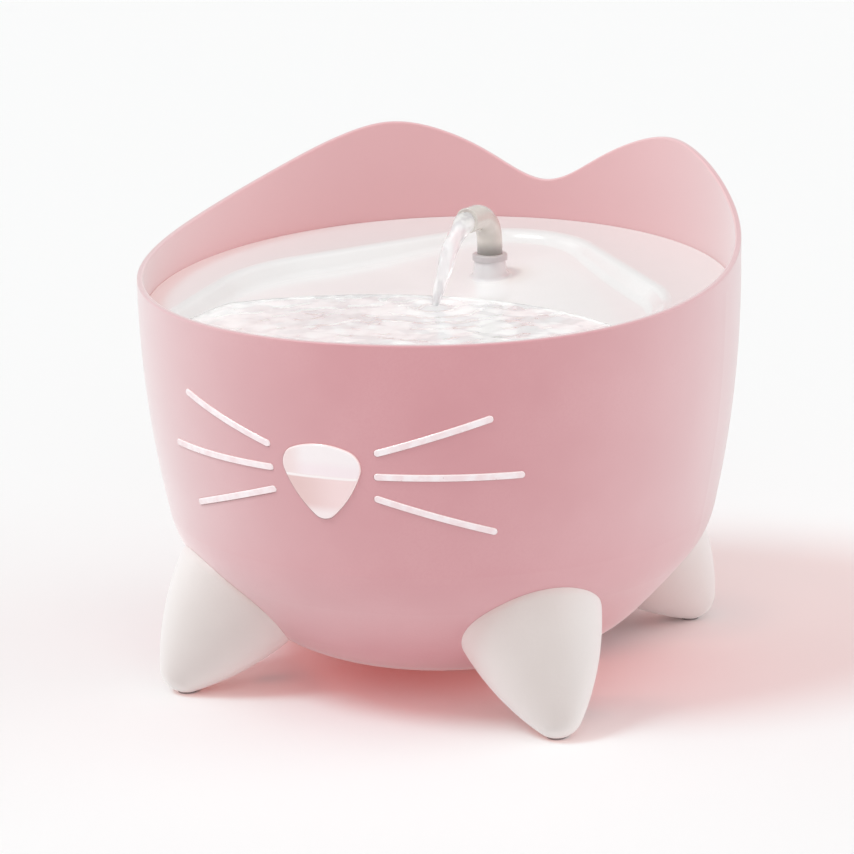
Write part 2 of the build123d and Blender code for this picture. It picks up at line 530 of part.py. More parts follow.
def make_tray():
    tray = tray_plate()
    skirt_radius = BOWL_RADIUS - BOWL_WALL - LEDGE_WIDTH - SKIRT_GAP
    basin, bite = basin_form(TRAY_WALL / 2), TRAY_WALL / 2
    under = under_deck(bite, SKIRT_DEPTH, skirt_radius) - basin
    tray += under - rod(skirt_radius - SKIRT_WALL, 0, TOP_Z)
    rib_room = under_deck(bite, SKIRT_DEPTH - RIB_SHORTER, skirt_radius - SKIRT_WALL / 2) - basin
    rib = Pos(skirt_radius - RIB_LENGTH / 2, 0, DECK_Z) * Box(RIB_LENGTH, RIB_WALL, 2 * STUB_DROP)
    for number in range(RIB_COUNT):
        tray += rib_room & Rot(Z=360 * (number + 0.5) / RIB_COUNT) * rib
    post_top = deck_z(SPOUT_Y)
    post_foot = post_top - POST_HEIGHT
    post = Cone(POST_FOOT_RADIUS, POST_TOP_RADIUS, POST_HEIGHT)
    tray += Pos(0, SPOUT_Y, post_top - POST_HEIGHT / 2) * post
    foot = tray.edges().filter_by(lambda edge: edge.length > 2 * pi * POST_TOP_RADIUS
                                  and hypot(edge.center().X, edge.center().Y - SPOUT_Y) < POST_FOOT_RADIUS
                                  and post_foot + BITE < edge.center().Z < post_top - POST_FOOT_ROUND)
    tray = fillet(foot, POST_FOOT_ROUND)
    stub_radius, bore = HOSE_BORE - RUNNING_GAP, HOSE_BORE - RUNNING_GAP - STUB_WALL
    seat_z = post_top - SPOUT_NECK - NECK_ROOM
    sleeve_foot = seat_z - POST_SEAT
    tray += rod(stub_radius, STUB_END_Z, post_foot + 2 * BITE, 0, SPOUT_Y)
    tray -= rod(bore, STUB_END_Z - BITE, TOP_Z, 0, SPOUT_Y)
    sleeve_radius = POST_BORE_RADIUS + POST_SLEEVE_WALL
    tray += tube(sleeve_radius, bore, sleeve_foot, seat_z, 0, SPOUT_Y)
    tray += tube(sleeve_radius, POST_BORE_RADIUS, sleeve_foot, post_foot + BITE, 0, SPOUT_Y)
    tray -= rod(POST_BORE_RADIUS, seat_z, TOP_Z, 0, SPOUT_Y)
    for number in range(OVERFLOW_COUNT):
        turn = (number - (OVERFLOW_COUNT - 1) / 2) * OVERFLOW_PITCH - 90
        arc = CenterArc((0, 0), OVERFLOW_RADIUS, turn - OVERFLOW_ARC / 2, OVERFLOW_ARC)
        tray -= extrude(SlotArc(arc, OVERFLOW_WIDTH), amount=TOP_Z)
    return tray


# ---- spout -----------------------------------------------------------------------------------
def make_spout():
    """Bent tube that turns in the post on a thinner neck, sealed by a ring in a groove."""
    base = deck_z(SPOUT_Y) + REST_GAP
    level = deck_z(SPOUT_Y) + SPOUT_HEIGHT - TUBE_RADIUS
    path = FilletPolyline((0, 0, base), (0, 0, level), (0, -SPOUT_REACH, level), radius=SPOUT_BEND)
    start = Plane.XY.offset(base)
    spout = sweep(start * Circle(TUBE_RADIUS), path)
    mouth = spout.edges().filter_by(lambda edge: edge.center().Y < -SPOUT_REACH + MOUTH_ROUND)
    spout = fillet(mouth, MOUTH_ROUND)
    spout -= sweep(start * Circle(TUBE_BORE_RADIUS), path)
    neck_radius, neck_foot = POST_BORE_RADIUS - RUNNING_GAP, base - SPOUT_NECK
    spout += rod(neck_radius, neck_foot, base + BITE)
    spout -= rod(NECK_BORE_RADIUS, neck_foot - BITE, base + 2 * BITE)
    ring_z, ring_radius = base - SPOUT_NECK / 2, POST_BORE_RADIUS - O_RING_GAP - O_RING_THICKNESS / 2
    groove_floor = ring_radius - O_RING_THICKNESS / 2 - O_RING_GAP
    spout -= tube(neck_radius + BITE, groove_floor, ring_z - GROOVE_WIDTH / 2, ring_z + GROOVE_WIDTH / 2)
    turned = Pos(0, SPOUT_Y, 0) * Rot(Z=-SPOUT_TURN)
    save(turned * spout, "spout")
    save(turned * Pos(0, 0, ring_z) * Torus(ring_radius, O_RING_THICKNESS / 2), "spout_o_ring")


def make_collar():
    """Ring pressed over the top of the post; the spout turns inside it."""
    top = deck_z(SPOUT_Y)
    ring = rod(COLLAR_RADIUS, top - COLLAR_LIP, top + COLLAR_HEIGHT)
    ring = fillet(ring.edges().group_by(Axis.Z)[-1], COLLAR_ROUND)
    ring -= rod(TUBE_RADIUS + RUNNING_GAP, 0, TOP_Z)
    ring -= rod(POST_TOP_RADIUS + COLLAR_FIT, 0, top + REST_GAP)
    save(Pos(0, SPOUT_Y, 0) * ring, "spout_collar")


def make_hose():
    """Soft hose from the pump's outlet up to the stub under the post."""
    top = STUB_END_Z + HOSE_OVERLAP
    low, high = PUMP_STUB_TOP_Z + HOSE_LOW_RISE, STUB_END_Z - HOSE_HIGH_DROP
    path = FilletPolyline((0, HOUSING_Y, HOSE_START_Z), (0, HOUSING_Y, low), (0, SPOUT_Y, high),
                          (0, SPOUT_Y, top), radius=HOSE_BEND)
    start = Pos(0, HOUSING_Y, HOSE_START_Z)
    hose = sweep(start * Circle(HOSE_BORE + HOSE_WALL), path)
    save(hose - sweep(start * Circle(HOSE_BORE), path), "riser_hose")


# ---- filter housing --------------------------------------------------------------------------
def cup_places():
    turns = [radians(turn) for turn in (45, 135, 225, 315)]
    return [(CUP_RING * cos(turn), HOUSING_Y + CUP_RING * sin(turn)) for turn in turns]


def make_housing():
    housing = rod(HOUSING_RADIUS, HOUSING_BASE_Z, HOUSING_TOP_Z, 0, HOUSING_Y)
    housing = fillet(housing.edges().group_by(Axis.Z)[0], HOUSING_ROUND)
    housing -= rod(HOUSING_RADIUS - HOUSING_WALL, HOUSING_BASE_Z + HOUSING_WALL, TOP_Z, 0, HOUSING_Y)
    notch = Box(NOTCH_WIDTH, 4 * HOUSING_WALL, NOTCH_HEIGHT)
    housing -= Pos(0, HOUSING_Y + HOUSING_RADIUS, HOUSING_TOP_Z - NOTCH_TOP - NOTCH_HEIGHT / 2) * notch
    cups = []
    for x, y in cup_places():
        housing -= rod(CUP_NECK + REST_GAP, 0, HOUSING_TOP_Z / 2, x, y)
        cone = Cone(CUP_RADIUS, CUP_HEAD, CUP_HEIGHT)
        cone = Pos(x, y, HOUSING_BASE_Z - REST_GAP - CUP_HEIGHT / 2) * cone
        cup = cone & bowl_form(BOWL_WALL + CUP_GAP)
        floor = HOUSING_BASE_Z + HOUSING_WALL + REST_GAP
        cup += rod(CUP_NECK, HOUSING_BASE_Z - BITE, floor + BITE, x, y)
        cups.append(cup + rod(CUP_HEAD, floor, floor + CUP_HEAD_HEIGHT, x, y))
    save(housing, "filter_housing")
    save(Compound(children=cups), "suction_cups")


def radial_slots(inner, outer, low, high, turn=0.0):
    """Ring of straight slots that run outwards, round-ended, cut upwards."""
    slots = []
    for number in range(GRILLE_SLOTS):
        angle = 360 * number / GRILLE_SLOTS + turn
        slot = Pos((inner + outer) / 2, 0) * SlotOverall(outer - inner, GRILLE_SLOT_WIDTH)
        slots.append(Pos(0, HOUSING_Y, low) * Rot(Z=angle) * extrude(slot, amount=high - low))
    return slots


def make_lid():
    """Cap over the housing with a grille floor, and a rim and sleeve that hold the cartridge."""
    seat = HOUSING_TOP_Z + REST_GAP
    floor = seat + LID_WALL
    skirt_inner = HOUSING_RADIUS + LID_GAP
    lid = rod(skirt_inner + LID_WALL, seat - LID_SKIRT, floor, 0, HOUSING_Y)
    lid = fillet(lid.edges().group_by(Axis.Z)[-1], LID_ROUND)
    lid -= rod(skirt_inner, 0, seat, 0, HOUSING_Y)
    lid += tube(HOUSING_RADIUS, HOUSING_RADIUS - LID_WALL, seat, floor + LID_TRAY_HEIGHT, 0, HOUSING_Y)
    lid += rod(SLEEVE_RADIUS + LID_WALL, seat, floor + LID_TRAY_HEIGHT + SLEEVE_HIGHER, 0, HOUSING_Y)
    lid -= rod(SLEEVE_RADIUS, 0, TOP_Z, 0, HOUSING_Y)
    inner, outer = SLEEVE_RADIUS + GRILLE_MARGIN, HOUSING_RADIUS - GRILLE_MARGIN
    for slot in radial_slots(inner, outer, seat - BITE, floor + BITE):
        lid -= slot
    save(lid, "filter_lid")
    return floor


def make_cartridge(floor):
    """Ring-shaped cage with slotted top, and the carbon foam that fills it."""
    base = floor + REST_GAP
    top = base + CARTRIDGE_HEIGHT
    outer = HOUSING_RADIUS - LID_WALL - CARTRIDGE_GAP
    inner = SLEEVE_RADIUS + LID_WALL + CARTRIDGE_GAP
    cage = tube(outer, inner, base, top, 0, HOUSING_Y)
    cage = fillet(cage.edges().group_by(Axis.Z)[-1], CARTRIDGE_ROUND)
    room_outer, room_inner = outer - CARTRIDGE_WALL, inner + CARTRIDGE_WALL
    cage -= tube(room_outer, room_inner, base - BITE, top - CARTRIDGE_WALL, 0, HOUSING_Y)
    slot_inner, slot_outer = inner + CARTRIDGE_MARGIN, outer - CARTRIDGE_MARGIN
    for slot in radial_slots(slot_inner, slot_outer, base, top + BITE, 180 / GRILLE_SLOTS):
        cage -= slot
    for number in range(3):
        bar = Pos(0, HOUSING_Y, base + CARTRIDGE_WALL / 2) * Rot(Z=60 * number)
        bar *= Box(2 * outer - CARTRIDGE_WALL, CARTRIDGE_BAR, CARTRIDGE_WALL)
        cage += bar - rod(inner + CARTRIDGE_WALL / 2, 0, TOP_Z, 0, HOUSING_Y)
    save(cage, "cartridge_cage")
    media = tube(room_outer - MEDIA_GAP, room_inner + MEDIA_GAP, base + CARTRIDGE_WALL + MEDIA_GAP,
                 top - CARTRIDGE_WALL - MEDIA_GAP, 0, HOUSING_Y)
    save(media, "filter_media")


# ---- pump ------------------------------------------------------------------------------------
def pump_axle(radius, front, back):
    return axle(radius, front, back, PUMP_X, PUMP_Z)


def make_pump():
    base = PUMP_Z - PUMP_HEIGHT / 2
    motor_y = (MOTOR_FRONT_Y + MOTOR_BACK_Y) / 2
    well_end = MOTOR_FRONT_Y + WELL_DEPTH
    motor = Pos(PUMP_X, motor_y, PUMP_Z) * Box(PUMP_WIDTH, MOTOR_BACK_Y - MOTOR_FRONT_Y, PUMP_HEIGHT)
    motor = fillet(motor.edges().filter_by(Axis.Y), PUMP_ROUND)
    motor = fillet(motor.faces().sort_by(Axis.Y)[-1].edges(), PUMP_BACK_ROUND)
    pump = motor + pump_axle(CHAMBER_RADIUS + CHAMBER_WALL, PUMP_FRONT_Y, MOTOR_FRONT_Y + BITE)
    pump += rod(OUTLET_BORE + CHAMBER_WALL, PUMP_Z, base + PUMP_HEIGHT + BITE, 0, HOUSING_Y)
    pump += rod(HOSE_BORE - RUNNING_GAP, PUMP_Z, PUMP_STUB_TOP_Z, 0, HOUSING_Y)
    pump -= pump_axle(CHAMBER_RADIUS, PUMP_FRONT_Y - BITE, MOTOR_FRONT_Y)
    pump -= pump_axle(WELL_RADIUS, PUMP_FRONT_Y, well_end)
    pump -= pump_axle(BUSH_RADIUS + REST_GAP, MOTOR_FRONT_Y, well_end + BUSH_DEPTH)
    pump -= rod(OUTLET_BORE, PUMP_Z + CHAMBER_RADIUS / 3, PUMP_STUB_TOP_Z + BITE, 0, HOUSING_Y)
    floor = HOUSING_BASE_Z + HOUSING_WALL + REST_GAP
    for x in (PUMP_X - PEG_SPREAD_X, PUMP_X + PEG_SPREAD_X):
        for y in (motor_y - PEG_SPREAD_Y, motor_y + PEG_SPREAD_Y):
            pump += rod(PEG_RADIUS, floor, base + 2 * BITE, x, y)
    save(pump, "pump_body")


def intake_holes(front, back):
    """Ring of round intake holes along Y."""
    holes = []
    for number in range(INTAKE_HOLES):
        angle = radians(360 * number / INTAKE_HOLES)
        x, z = PUMP_X + INTAKE_RING * cos(angle), PUMP_Z + INTAKE_RING * sin(angle)
        holes.append(axle(INTAKE_HOLE_RADIUS, front, back, x, z))
    return holes


def make_cover():
    """Front of the pump chamber: intake holes, the front bush's boss and the flow dial's pivot."""
    back = PUMP_FRONT_Y - REST_GAP
    front = back - COVER_DEPTH
    outer = CHAMBER_RADIUS + CHAMBER_WALL
    cover = pump_axle(outer, front, back)
    cover = fillet(cover.edges().group_by(Axis.Y)[0], COVER_ROUND)
    cover -= pump_axle(outer - COVER_WALL, front + COVER_WALL, back + BITE)
    cover += pump_axle(BUSH_RADIUS + BUSH_WALL, front + BITE, back)
    cover -= pump_axle(BUSH_RADIUS + REST_GAP, front + COVER_WALL, back + BITE)
    cover += pump_axle(PIVOT_RADIUS, front - PIVOT_LENGTH, front + BITE)
    cover += pump_axle(PIVOT_HEAD_RADIUS, front - PIVOT_LENGTH, front - PIVOT_LENGTH + PIVOT_HEAD)
    for hole in intake_holes(front - BITE, front + COVER_WALL + BITE / 2):
        cover -= hole
    save(cover, "pump_cover")
    knob_back = front - KNOB_GAP
    knob_front = knob_back - KNOB_WALL
    knob = pump_axle(KNOB_RADIUS, knob_front, knob_back)
    lever = Pos(PUMP_X, knob_back - KNOB_WALL / 2, PUMP_Z + KNOB_RADIUS + BITE)
    lever *= Box(LEVER_WIDTH, KNOB_WALL, LEVER_LENGTH)
    knob += fillet(lever.edges().filter_by(Axis.Y), LEVER_ROUND)
    knob -= pump_axle(PIVOT_RADIUS + RUNNING_GAP, knob_front - BITE, knob_back + BITE)
    for hole in intake_holes(knob_front - BITE, knob_back + BITE):
        knob -= hole
    save(knob, "flow_dial")
    return front


def make_rotor(cover_front):
    """Impeller with its magnet, on a fixed steel shaft between two rubber bushes."""
    disc_back = MOTOR_FRONT_Y - DISC_GAP
    disc_front = disc_back - BLADE_WALL
    blade_front = PUMP_FRONT_Y + BLADE_FRONT_GAP
    well_end = MOTOR_FRONT_Y + WELL_DEPTH
    magnet_back = well_end - MAGNET_END
    rotor = pump_axle(BLADE_TIP, disc_front, disc_back)
    rotor += pump_axle(ROTOR_HUB, blade_front, disc_back)
    rotor += pump_axle(ROTOR_CORE, disc_front, magnet_back)
    rotor += pump_axle(ROTOR_RADIUS, MOTOR_FRONT_Y + MAGNET_START, magnet_back)
    blade = Box(BLADE_TIP - BLADE_ROOT, disc_back - blade_front, BLADE_WALL)
    for number in range(BLADE_COUNT):
        place = Pos(PUMP_X, (disc_back + blade_front) / 2, PUMP_Z) * Rot(Y=360 * number / BLADE_COUNT)
        rotor += place * Pos((BLADE_TIP + BLADE_ROOT) / 2, 0, 0) * blade
    rotor -= pump_axle(SHAFT_RADIUS + RUNNING_GAP, PUMP_FRONT_Y, MOTOR_BACK_Y)
    save(rotor, "impeller")
    front = cover_front + COVER_WALL + REST_GAP
    back = well_end + BUSH_DEPTH - REST_GAP
    save(pump_axle(SHAFT_RADIUS, front + SHAFT_SHORTER, back - SHAFT_SHORTER), "impeller_shaft")
    bushes = [pump_axle(BUSH_RADIUS, front, blade_front - BUSH_GAP),
              pump_axle(BUSH_RADIUS, magnet_back + BUSH_GAP, back)]
    hole_ends = front + SHAFT_SHORTER - BUSH_END, back - SHAFT_SHORTER + BUSH_END
    shaft_hole = pump_axle(SHAFT_RADIUS + REST_GAP, *hole_ends)
    save(Compound(children=[bush - shaft_hole for bush in bushes]), "shaft_bushes")


def make_sponge():
    floor = HOUSING_BASE_Z + HOUSING_WALL + CUP_GAP
    front = HOUSING_Y - HOUSING_RADIUS + HOUSING_WALL + SPONGE_BACK
    sponge = Pos(0, front + SPONGE_DEPTH / 2, floor + SPONGE_HEIGHT / 2)
    sponge *= Box(SPONGE_WIDTH, SPONGE_DEPTH, SPONGE_HEIGHT)
    save(fillet(sponge.edges().filter_by(Axis.Z), SPONGE_ROUND), "prefilter_sponge")


if __name__ == "__main__":
    os.makedirs("parts", exist_ok=True)
    save(make_bowl(), "bowl")
    make_nose()
    make_whiskers()
    make_grommet()
    make_legs()
    save(make_tray(), "tray")
    make_spout()
    make_collar()
    make_hose()
    make_housing()
    make_cartridge(make_lid())
    make_pump()
    make_rotor(make_cover())
    make_sponge()
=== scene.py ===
# %% [markdown]
# # A pet water fountain in Blender
#
# The construction of this fountain is already settled: every piece has its real size and place, and
# those pieces arrive as a fixed frame. What is left for Blender is what the eye sees: the finish of
# each surface, and the water, which has no fixed size of its own. Blender could also rebuild the
# shells as new meshes, but they would only repeat what the frame holds, so the frame's own
# pieces are shown wherever their shape is right.

# %% Load the frame
import json
from math import cos, hypot, pi, radians, sin

import bmesh
import bpy
from mathutils import Matrix, Vector
from mathutils.bvhtree import BVHTree
from mathutils.noise import noise


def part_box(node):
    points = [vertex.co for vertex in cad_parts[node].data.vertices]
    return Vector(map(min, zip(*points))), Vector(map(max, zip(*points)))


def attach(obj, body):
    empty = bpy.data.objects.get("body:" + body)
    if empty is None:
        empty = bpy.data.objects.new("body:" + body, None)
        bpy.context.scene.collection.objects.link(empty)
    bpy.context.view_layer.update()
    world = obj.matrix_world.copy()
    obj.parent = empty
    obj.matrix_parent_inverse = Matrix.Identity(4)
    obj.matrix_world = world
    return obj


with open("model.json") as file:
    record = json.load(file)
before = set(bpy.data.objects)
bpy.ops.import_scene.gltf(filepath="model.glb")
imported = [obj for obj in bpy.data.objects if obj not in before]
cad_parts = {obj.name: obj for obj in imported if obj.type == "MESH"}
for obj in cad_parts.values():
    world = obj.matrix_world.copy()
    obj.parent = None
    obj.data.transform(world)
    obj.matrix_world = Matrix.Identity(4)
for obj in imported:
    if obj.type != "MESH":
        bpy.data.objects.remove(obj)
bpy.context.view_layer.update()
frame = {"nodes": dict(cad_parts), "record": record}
MM = 0.001

# %% [markdown]
# ## The camera
#
# A product camera stands well back and looks slightly down, so that the round rim reads as a slim
# ellipse and the upright walls stay nearly parallel. A wide lens close by would be an alternative,
# but it would swell the nose and shrink the ears. A long lens from 1.65 m keeps the bowl's true
# proportions. The camera is turned, tipped and then rolled a little, one rotation after another.

# %% Camera
PICTURE_SIDE = 854                      # pixels, square
FOCAL_PIXELS = 3710.0                   # focal length measured in those pixels
SENSOR_WIDTH = 36.0                     # mm
CAMERA_TURN, CAMERA_DIP, CAMERA_ROLL = 22.988, 14.978, 0.999     # degrees
CAMERA_PLACE = Vector((618.6, -1474.6, 534.2)) * MM

camera_data = bpy.data.cameras.new("product_camera")
camera_data.sensor_width = SENSOR_WIDTH
camera_data.lens = SENSOR_WIDTH * FOCAL_PIXELS / PICTURE_SIDE
camera = bpy.data.objects.new("product_camera", camera_data)
bpy.context.collection.objects.link(camera)
turn = Matrix.Rotation(radians(CAMERA_TURN), 4, "Z")
dip = Matrix.Rotation(radians(90 - CAMERA_DIP), 4, "X")
roll = Matrix.Rotation(radians(-CAMERA_ROLL), 4, "Z")
camera.matrix_world = Matrix.Translation(CAMERA_PLACE) @ turn @ dip @ roll
bpy.context.scene.camera = camera
print("lens:", round(camera_data.lens, 1), "mm")

# %% [markdown]
# ## Writing shader maths as expressions
#
# A material in Blender is a graph of nodes, and a graph written call by call is hard to read. The
# class below wraps one socket, so that `0.5 + 0.1 * grain` adds its Math nodes by itself. Numbers go
# through Math nodes, vectors through Vector Math and colours through Mix, because a Math node
# would turn a colour grey. Every other kind of node comes from the one method `node`.

# %% One class for sockets
ON_NUMBERS, ON_VECTORS = "ShaderNodeMath", "ShaderNodeVectorMath"
MIX_A, MIX_B, MIX_RESULT = 6, 7, 2      # the colour sockets of a Mix node


class Wire:
    """One socket of a material's graph, which can be used in sums and products."""

    def __init__(self, tree, socket=None):
        self.tree = tree
        self.socket = socket

    def node(self, kind, settings=None, inputs=None, output=0):
        """Add a node: its type, then its settings, then the values or wires of its sockets."""
        made = self.tree.nodes.new(kind)
        for name, value in (settings or {}).items():
            setattr(made, name, value)
        for name, value in (inputs or {}).items():
            if isinstance(value, Wire):
                self.tree.links.new(value.socket, made.inputs[name])
            else:
                made.inputs[name].default_value = value
        return Wire(self.tree, made.outputs[output] if len(made.outputs) else None)

    def combine(self, first, second, operation):
        sockets = [value.socket.type for value in (first, second) if isinstance(value, Wire)]
        if "RGBA" in sockets:
            settings = {"data_type": "RGBA", "blend_type": operation}
            sides = {MIX_A: first, MIX_B: second, "Factor": 1.0}
            return self.node("ShaderNodeMix", settings, sides, MIX_RESULT)
        if "VECTOR" in sockets:
            sides = {0: as_vector(first), 1: as_vector(second)}
            return self.node(ON_VECTORS, {"operation": operation}, sides)
        return self.node(ON_NUMBERS, {"operation": operation}, {0: first, 1: second})

    def __add__(self, other):
        return self.combine(self, other, "ADD")

    def __radd__(self, other):
        return self.combine(other, self, "ADD")

    def __sub__(self, other):
        return self.combine(self, other, "SUBTRACT")

    def __rsub__(self, other):
        return self.combine(other, self, "SUBTRACT")

    def __mul__(self, other):
        return self.combine(self, other, "MULTIPLY")

    def __rmul__(self, other):
        return self.combine(other, self, "MULTIPLY")

    def step(self, low, high):
        """0 below low, 1 above high, and smooth between them."""
        span = {"Value": self, "From Min": low, "From Max": high}
        return self.node("ShaderNodeMapRange", {"interpolation_type": "SMOOTHSTEP"}, span)

    def tint(self, first, second):
        """A colour between two, by this number from 0 to 1."""
        sides = {"Factor": self, MIX_A: first, MIX_B: second}
        return self.node("ShaderNodeMix", {"data_type": "RGBA"}, sides, MIX_RESULT)

    def part(self, axis):
        """One coordinate of a vector."""
        return self.node("ShaderNodeSeparateXYZ", {}, {"Vector": self}, "XYZ".index(axis))

    def length(self):
        return self.node(ON_VECTORS, {"operation": "LENGTH"}, {0: self}, "Value")

    def along(self, other):
        """How far this vector reaches along another."""
        return self.node(ON_VECTORS, {"operation": "DOT_PRODUCT"}, {0: self, 1: other}, "Value")


def as_vector(value):
    return value if isinstance(value, (Wire, tuple)) else (value, value, value)


print("shader expressions ready")

# %% [markdown]
# ## A start for every finish
#
# All finishes share a skeleton: one Principled shader, and the object's own coordinates in metres, so
# that a grain has its true size on every piece and needs no UV map. Constants are set directly on the
# shader. Only what changes over the surface is wired in.

# %% Finish skeleton


class Finish:
    """A material with one Principled shader and patterns measured in the object's own metres."""

    def __init__(self, name, **constants):
        self.material = bpy.data.materials.new(name)
        self.material.use_nodes = True
        self.tree = self.material.node_tree
        self.tree.nodes.clear()
        self.start = Wire(self.tree)
        self.shader = self.tree.nodes.new("ShaderNodeBsdfPrincipled")
        self.output = self.tree.nodes.new("ShaderNodeOutputMaterial")
        self.tree.links.new(self.shader.outputs[0], self.output.inputs["Surface"])
        self.place = self.start.node("ShaderNodeTexCoord", output="Object")
        for socket, value in constants.items():
            self.set(socket.replace("_", " "), value)

    def colour_by(self, colour):
        """Keep the colour's wire as well, so that a later step can lay something over it."""
        self.colour = colour
        self.set("Base Color", colour)

    def set(self, socket, value):
        if isinstance(value, Wire):
            self.tree.links.new(value.socket, self.shader.inputs[socket])
        else:
            self.shader.inputs[socket].default_value = value

    def grain(self, pitch_mm, detail=2.0, rough=0.5, where=None):
        """Noise from 0 to 1 with bumps about this far apart."""
        inputs = {"Vector": where or self.place, "Scale": 1 / (pitch_mm * MM)}
        inputs |= {"Detail": detail, "Roughness": rough}
        return self.start.node("ShaderNodeTexNoise", {}, inputs, "Fac")

    def cells(self, pitch_mm):
        """Distance from the middle of the nearest cell, for cells of about this size."""
        inputs = {"Vector": self.place, "Scale": 1 / (pitch_mm * MM)}
        return self.start.node("ShaderNodeTexVoronoi", {"feature": "F1"}, inputs, "Distance")

    def relief(self, height, depth_mm):
        """A bump map: height from 0 to 1, times this depth."""
        inputs = {"Height": height, "Distance": depth_mm * MM, "Strength": 1.0}
        self.set("Normal", self.start.node("ShaderNodeBump", {}, inputs))


def pale(colour, share):
    """A colour moved towards white by a share."""
    return tuple(c + (1 - c) * share for c in colour[:3]) + (1,)


def dark(colour, share):
    return tuple(c * (1 - share) for c in colour[:3]) + (1,)


print("finish skeleton ready")

# %% [markdown]
# ## Moulded plastic
#
# The bowl, legs and tray are injection moulded. A real moulding is never one flat colour: the pigment
# drifts very slightly over some centimetres, the tool's spark-eroded skin gives a grain of a
# few tenths of a millimetre, and handling leaves the gloss a little uneven. One function makes
# them all, because they only differ in colour, gloss and grain.
#
# The bowl's thin wall also tints its own shadow, and `let_through` imitates that for shadow rays.
# The legs, the tray and the pieces inside are opaque on the real fountain. They get a share of it
# too, so the whole shadow is pinker and lighter than a true one.

# %% Moulded plastics
DRIFT_PITCH, HANDLING_PITCH = 45.0, 14.0         # mm
CLOUD_SPAN, SPECK_SPAN = (0.3, 0.7), (0.35, 0.75)
SPECK_PITCH = 2.2                                # times the grain's pitch
SPECK_SHARE, SPECK_DARK = 0.5, 0.6
GLOSS_DRIFT = 0.08
SATIN, GLOSSY = 0.45, 0.22                       # roughness
PINK = (0.665, 0.295, 0.325)
WHITE = (0.88, 0.885, 0.88)
WARM_WHITE = (0.68, 0.61, 0.585)
LIGHT_GREY, BLACK, DARK_GREY = (0.70, 0.70, 0.70), (0.028, 0.028, 0.030), (0.11, 0.11, 0.12)
CREAM = (0.52, 0.50, 0.45)
SOFT_SKIN = {"Sheen_Weight": 0.7, "Sheen_Roughness": 0.4}
LEG_SKIN = {"Sheen_Weight": 0.4, "Sheen_Roughness": 0.4}
POLISH = {"Coat_Weight": 0.35, "Coat_Roughness": 0.06}


def moulded(name, colour, gloss, grain_pitch, grain_depth, drift=0.035, **constants):
    """Plastic of this colour and gloss, with a grain of this pitch and depth in mm."""
    finish = Finish(name, **constants)
    colour = (*colour, 1)
    cloud = finish.grain(DRIFT_PITCH, 3.0)
    speck = finish.grain(grain_pitch * SPECK_PITCH, 1.0)
    mottled = cloud.step(*CLOUD_SPAN).tint(dark(colour, drift), pale(colour, drift))
    speckled = (speck.step(*SPECK_SPAN) * SPECK_SHARE).tint(mottled, dark(colour, drift * SPECK_DARK))
    finish.colour_by(speckled)
    uneven = finish.grain(HANDLING_PITCH, 4.0)
    finish.set("Roughness", gloss - GLOSS_DRIFT / 2 + GLOSS_DRIFT * uneven)
    skin = finish.grain(grain_pitch, 3.0, 0.6)
    finish.relief(skin, grain_depth)
    return finish


finishes = {
    "bowl_plastic": moulded("bowl_satin_pink", PINK, 0.42, 0.45, 0.012, **SOFT_SKIN),
    "leg_plastic": moulded("leg_satin_white", WARM_WHITE, SATIN, 0.45, 0.012, **LEG_SKIN),
    "tray_plastic": moulded("tray_smooth_white", WHITE, GLOSSY, 0.6, 0.004, **POLISH),
    "housing_plastic": moulded("housing_light_grey", LIGHT_GREY, SATIN, 0.5, 0.014),
    "pump_plastic": moulded("pump_black", BLACK, 0.42, 0.4, 0.02),
    "dial_plastic": moulded("dial_dark_grey", DARK_GREY, 0.38, 0.4, 0.012),
    "rotor_plastic": moulded("rotor_cream", CREAM, 0.35, 0.5, 0.01),
}


def let_through(finish, colour):
    """For shadows only, let a share of each lamp's light through, tinted by this colour."""
    is_shadow = finish.start.node("ShaderNodeLightPath", output="Is Shadow Ray")
    clear = finish.start.node("ShaderNodeBsdfTransparent", {}, {"Color": colour})
    sides = {0: is_shadow, 1: Wire(finish.tree, finish.shader.outputs[0]), 2: clear}
    mixed = finish.start.node("ShaderNodeMixShader", {}, sides)
    finish.tree.links.new(mixed.socket, finish.output.inputs["Surface"])


INNER_PINK_PAINTED_LIGHT = (0.80, 0.45, 0.47, 1)
INNER_SHADE = (0.88, 0.76, 0.74, 1)     # what the pieces inside leave of a lamp's light
PAINTED_SHEEN_PINK = (0.90, 0.87, 0.87, 1)
PAINTED_SHEEN_LEG = (0.97, 0.955, 0.945, 1)
POST_PAINTED_SHADE = (0.76, 0.745, 0.755, 1)
DECK_PAINTED_SHADE = (0.795, 0.80, 0.795, 1)
DECK_Z, DECK_SLOPE = 0.1674, 0.0623     # height of the deck on the bowl's axis, rise towards the back
DECK_EDGE = (-0.0014, -0.0002)          # m from the deck's height, where the basin's tone gives way to the deck's painted shade
BOWL_HEART = (0, 0, 0.15)               # a point inside the bowl: the inner wall faces it
INNER_SPAN = (-0.012, 0.012)            # from facing that point to facing away from it
PAINTED_SHEEN_RISE = (0.020, 0.095)              # m above the floor, where the bowl's painted sheen sets in
BOWL_PAINTED_SHEEN, LEG_PAINTED_SHEEN = 0.58, 0.85
POST_Y = 60.5                           # mm, from the bowl's axis back to the spout's
POST_PLACE, POST_SPAN = (0, POST_Y * MM, 0), (0.0084, 0.0098)
BOWL_SHADE, LEG_SHADE = (0.86, 0.52, 0.48, 1), (0.80, 0.52, 0.49, 1)
INNER_SLOTS = ("tray_plastic", "housing_plastic", "pump_plastic", "dial_plastic", "rotor_plastic")


def painted_sheen(finish, share, colour, where=1.0):
    """Painted sheen mixed into the colour: the shallower the glance, the whiter."""
    glance = finish.start.node("ShaderNodeLayerWeight", {}, {"Blend": 0.5}, "Facing")
    finish.colour_by((share * glance * where).tint(finish.colour, colour))


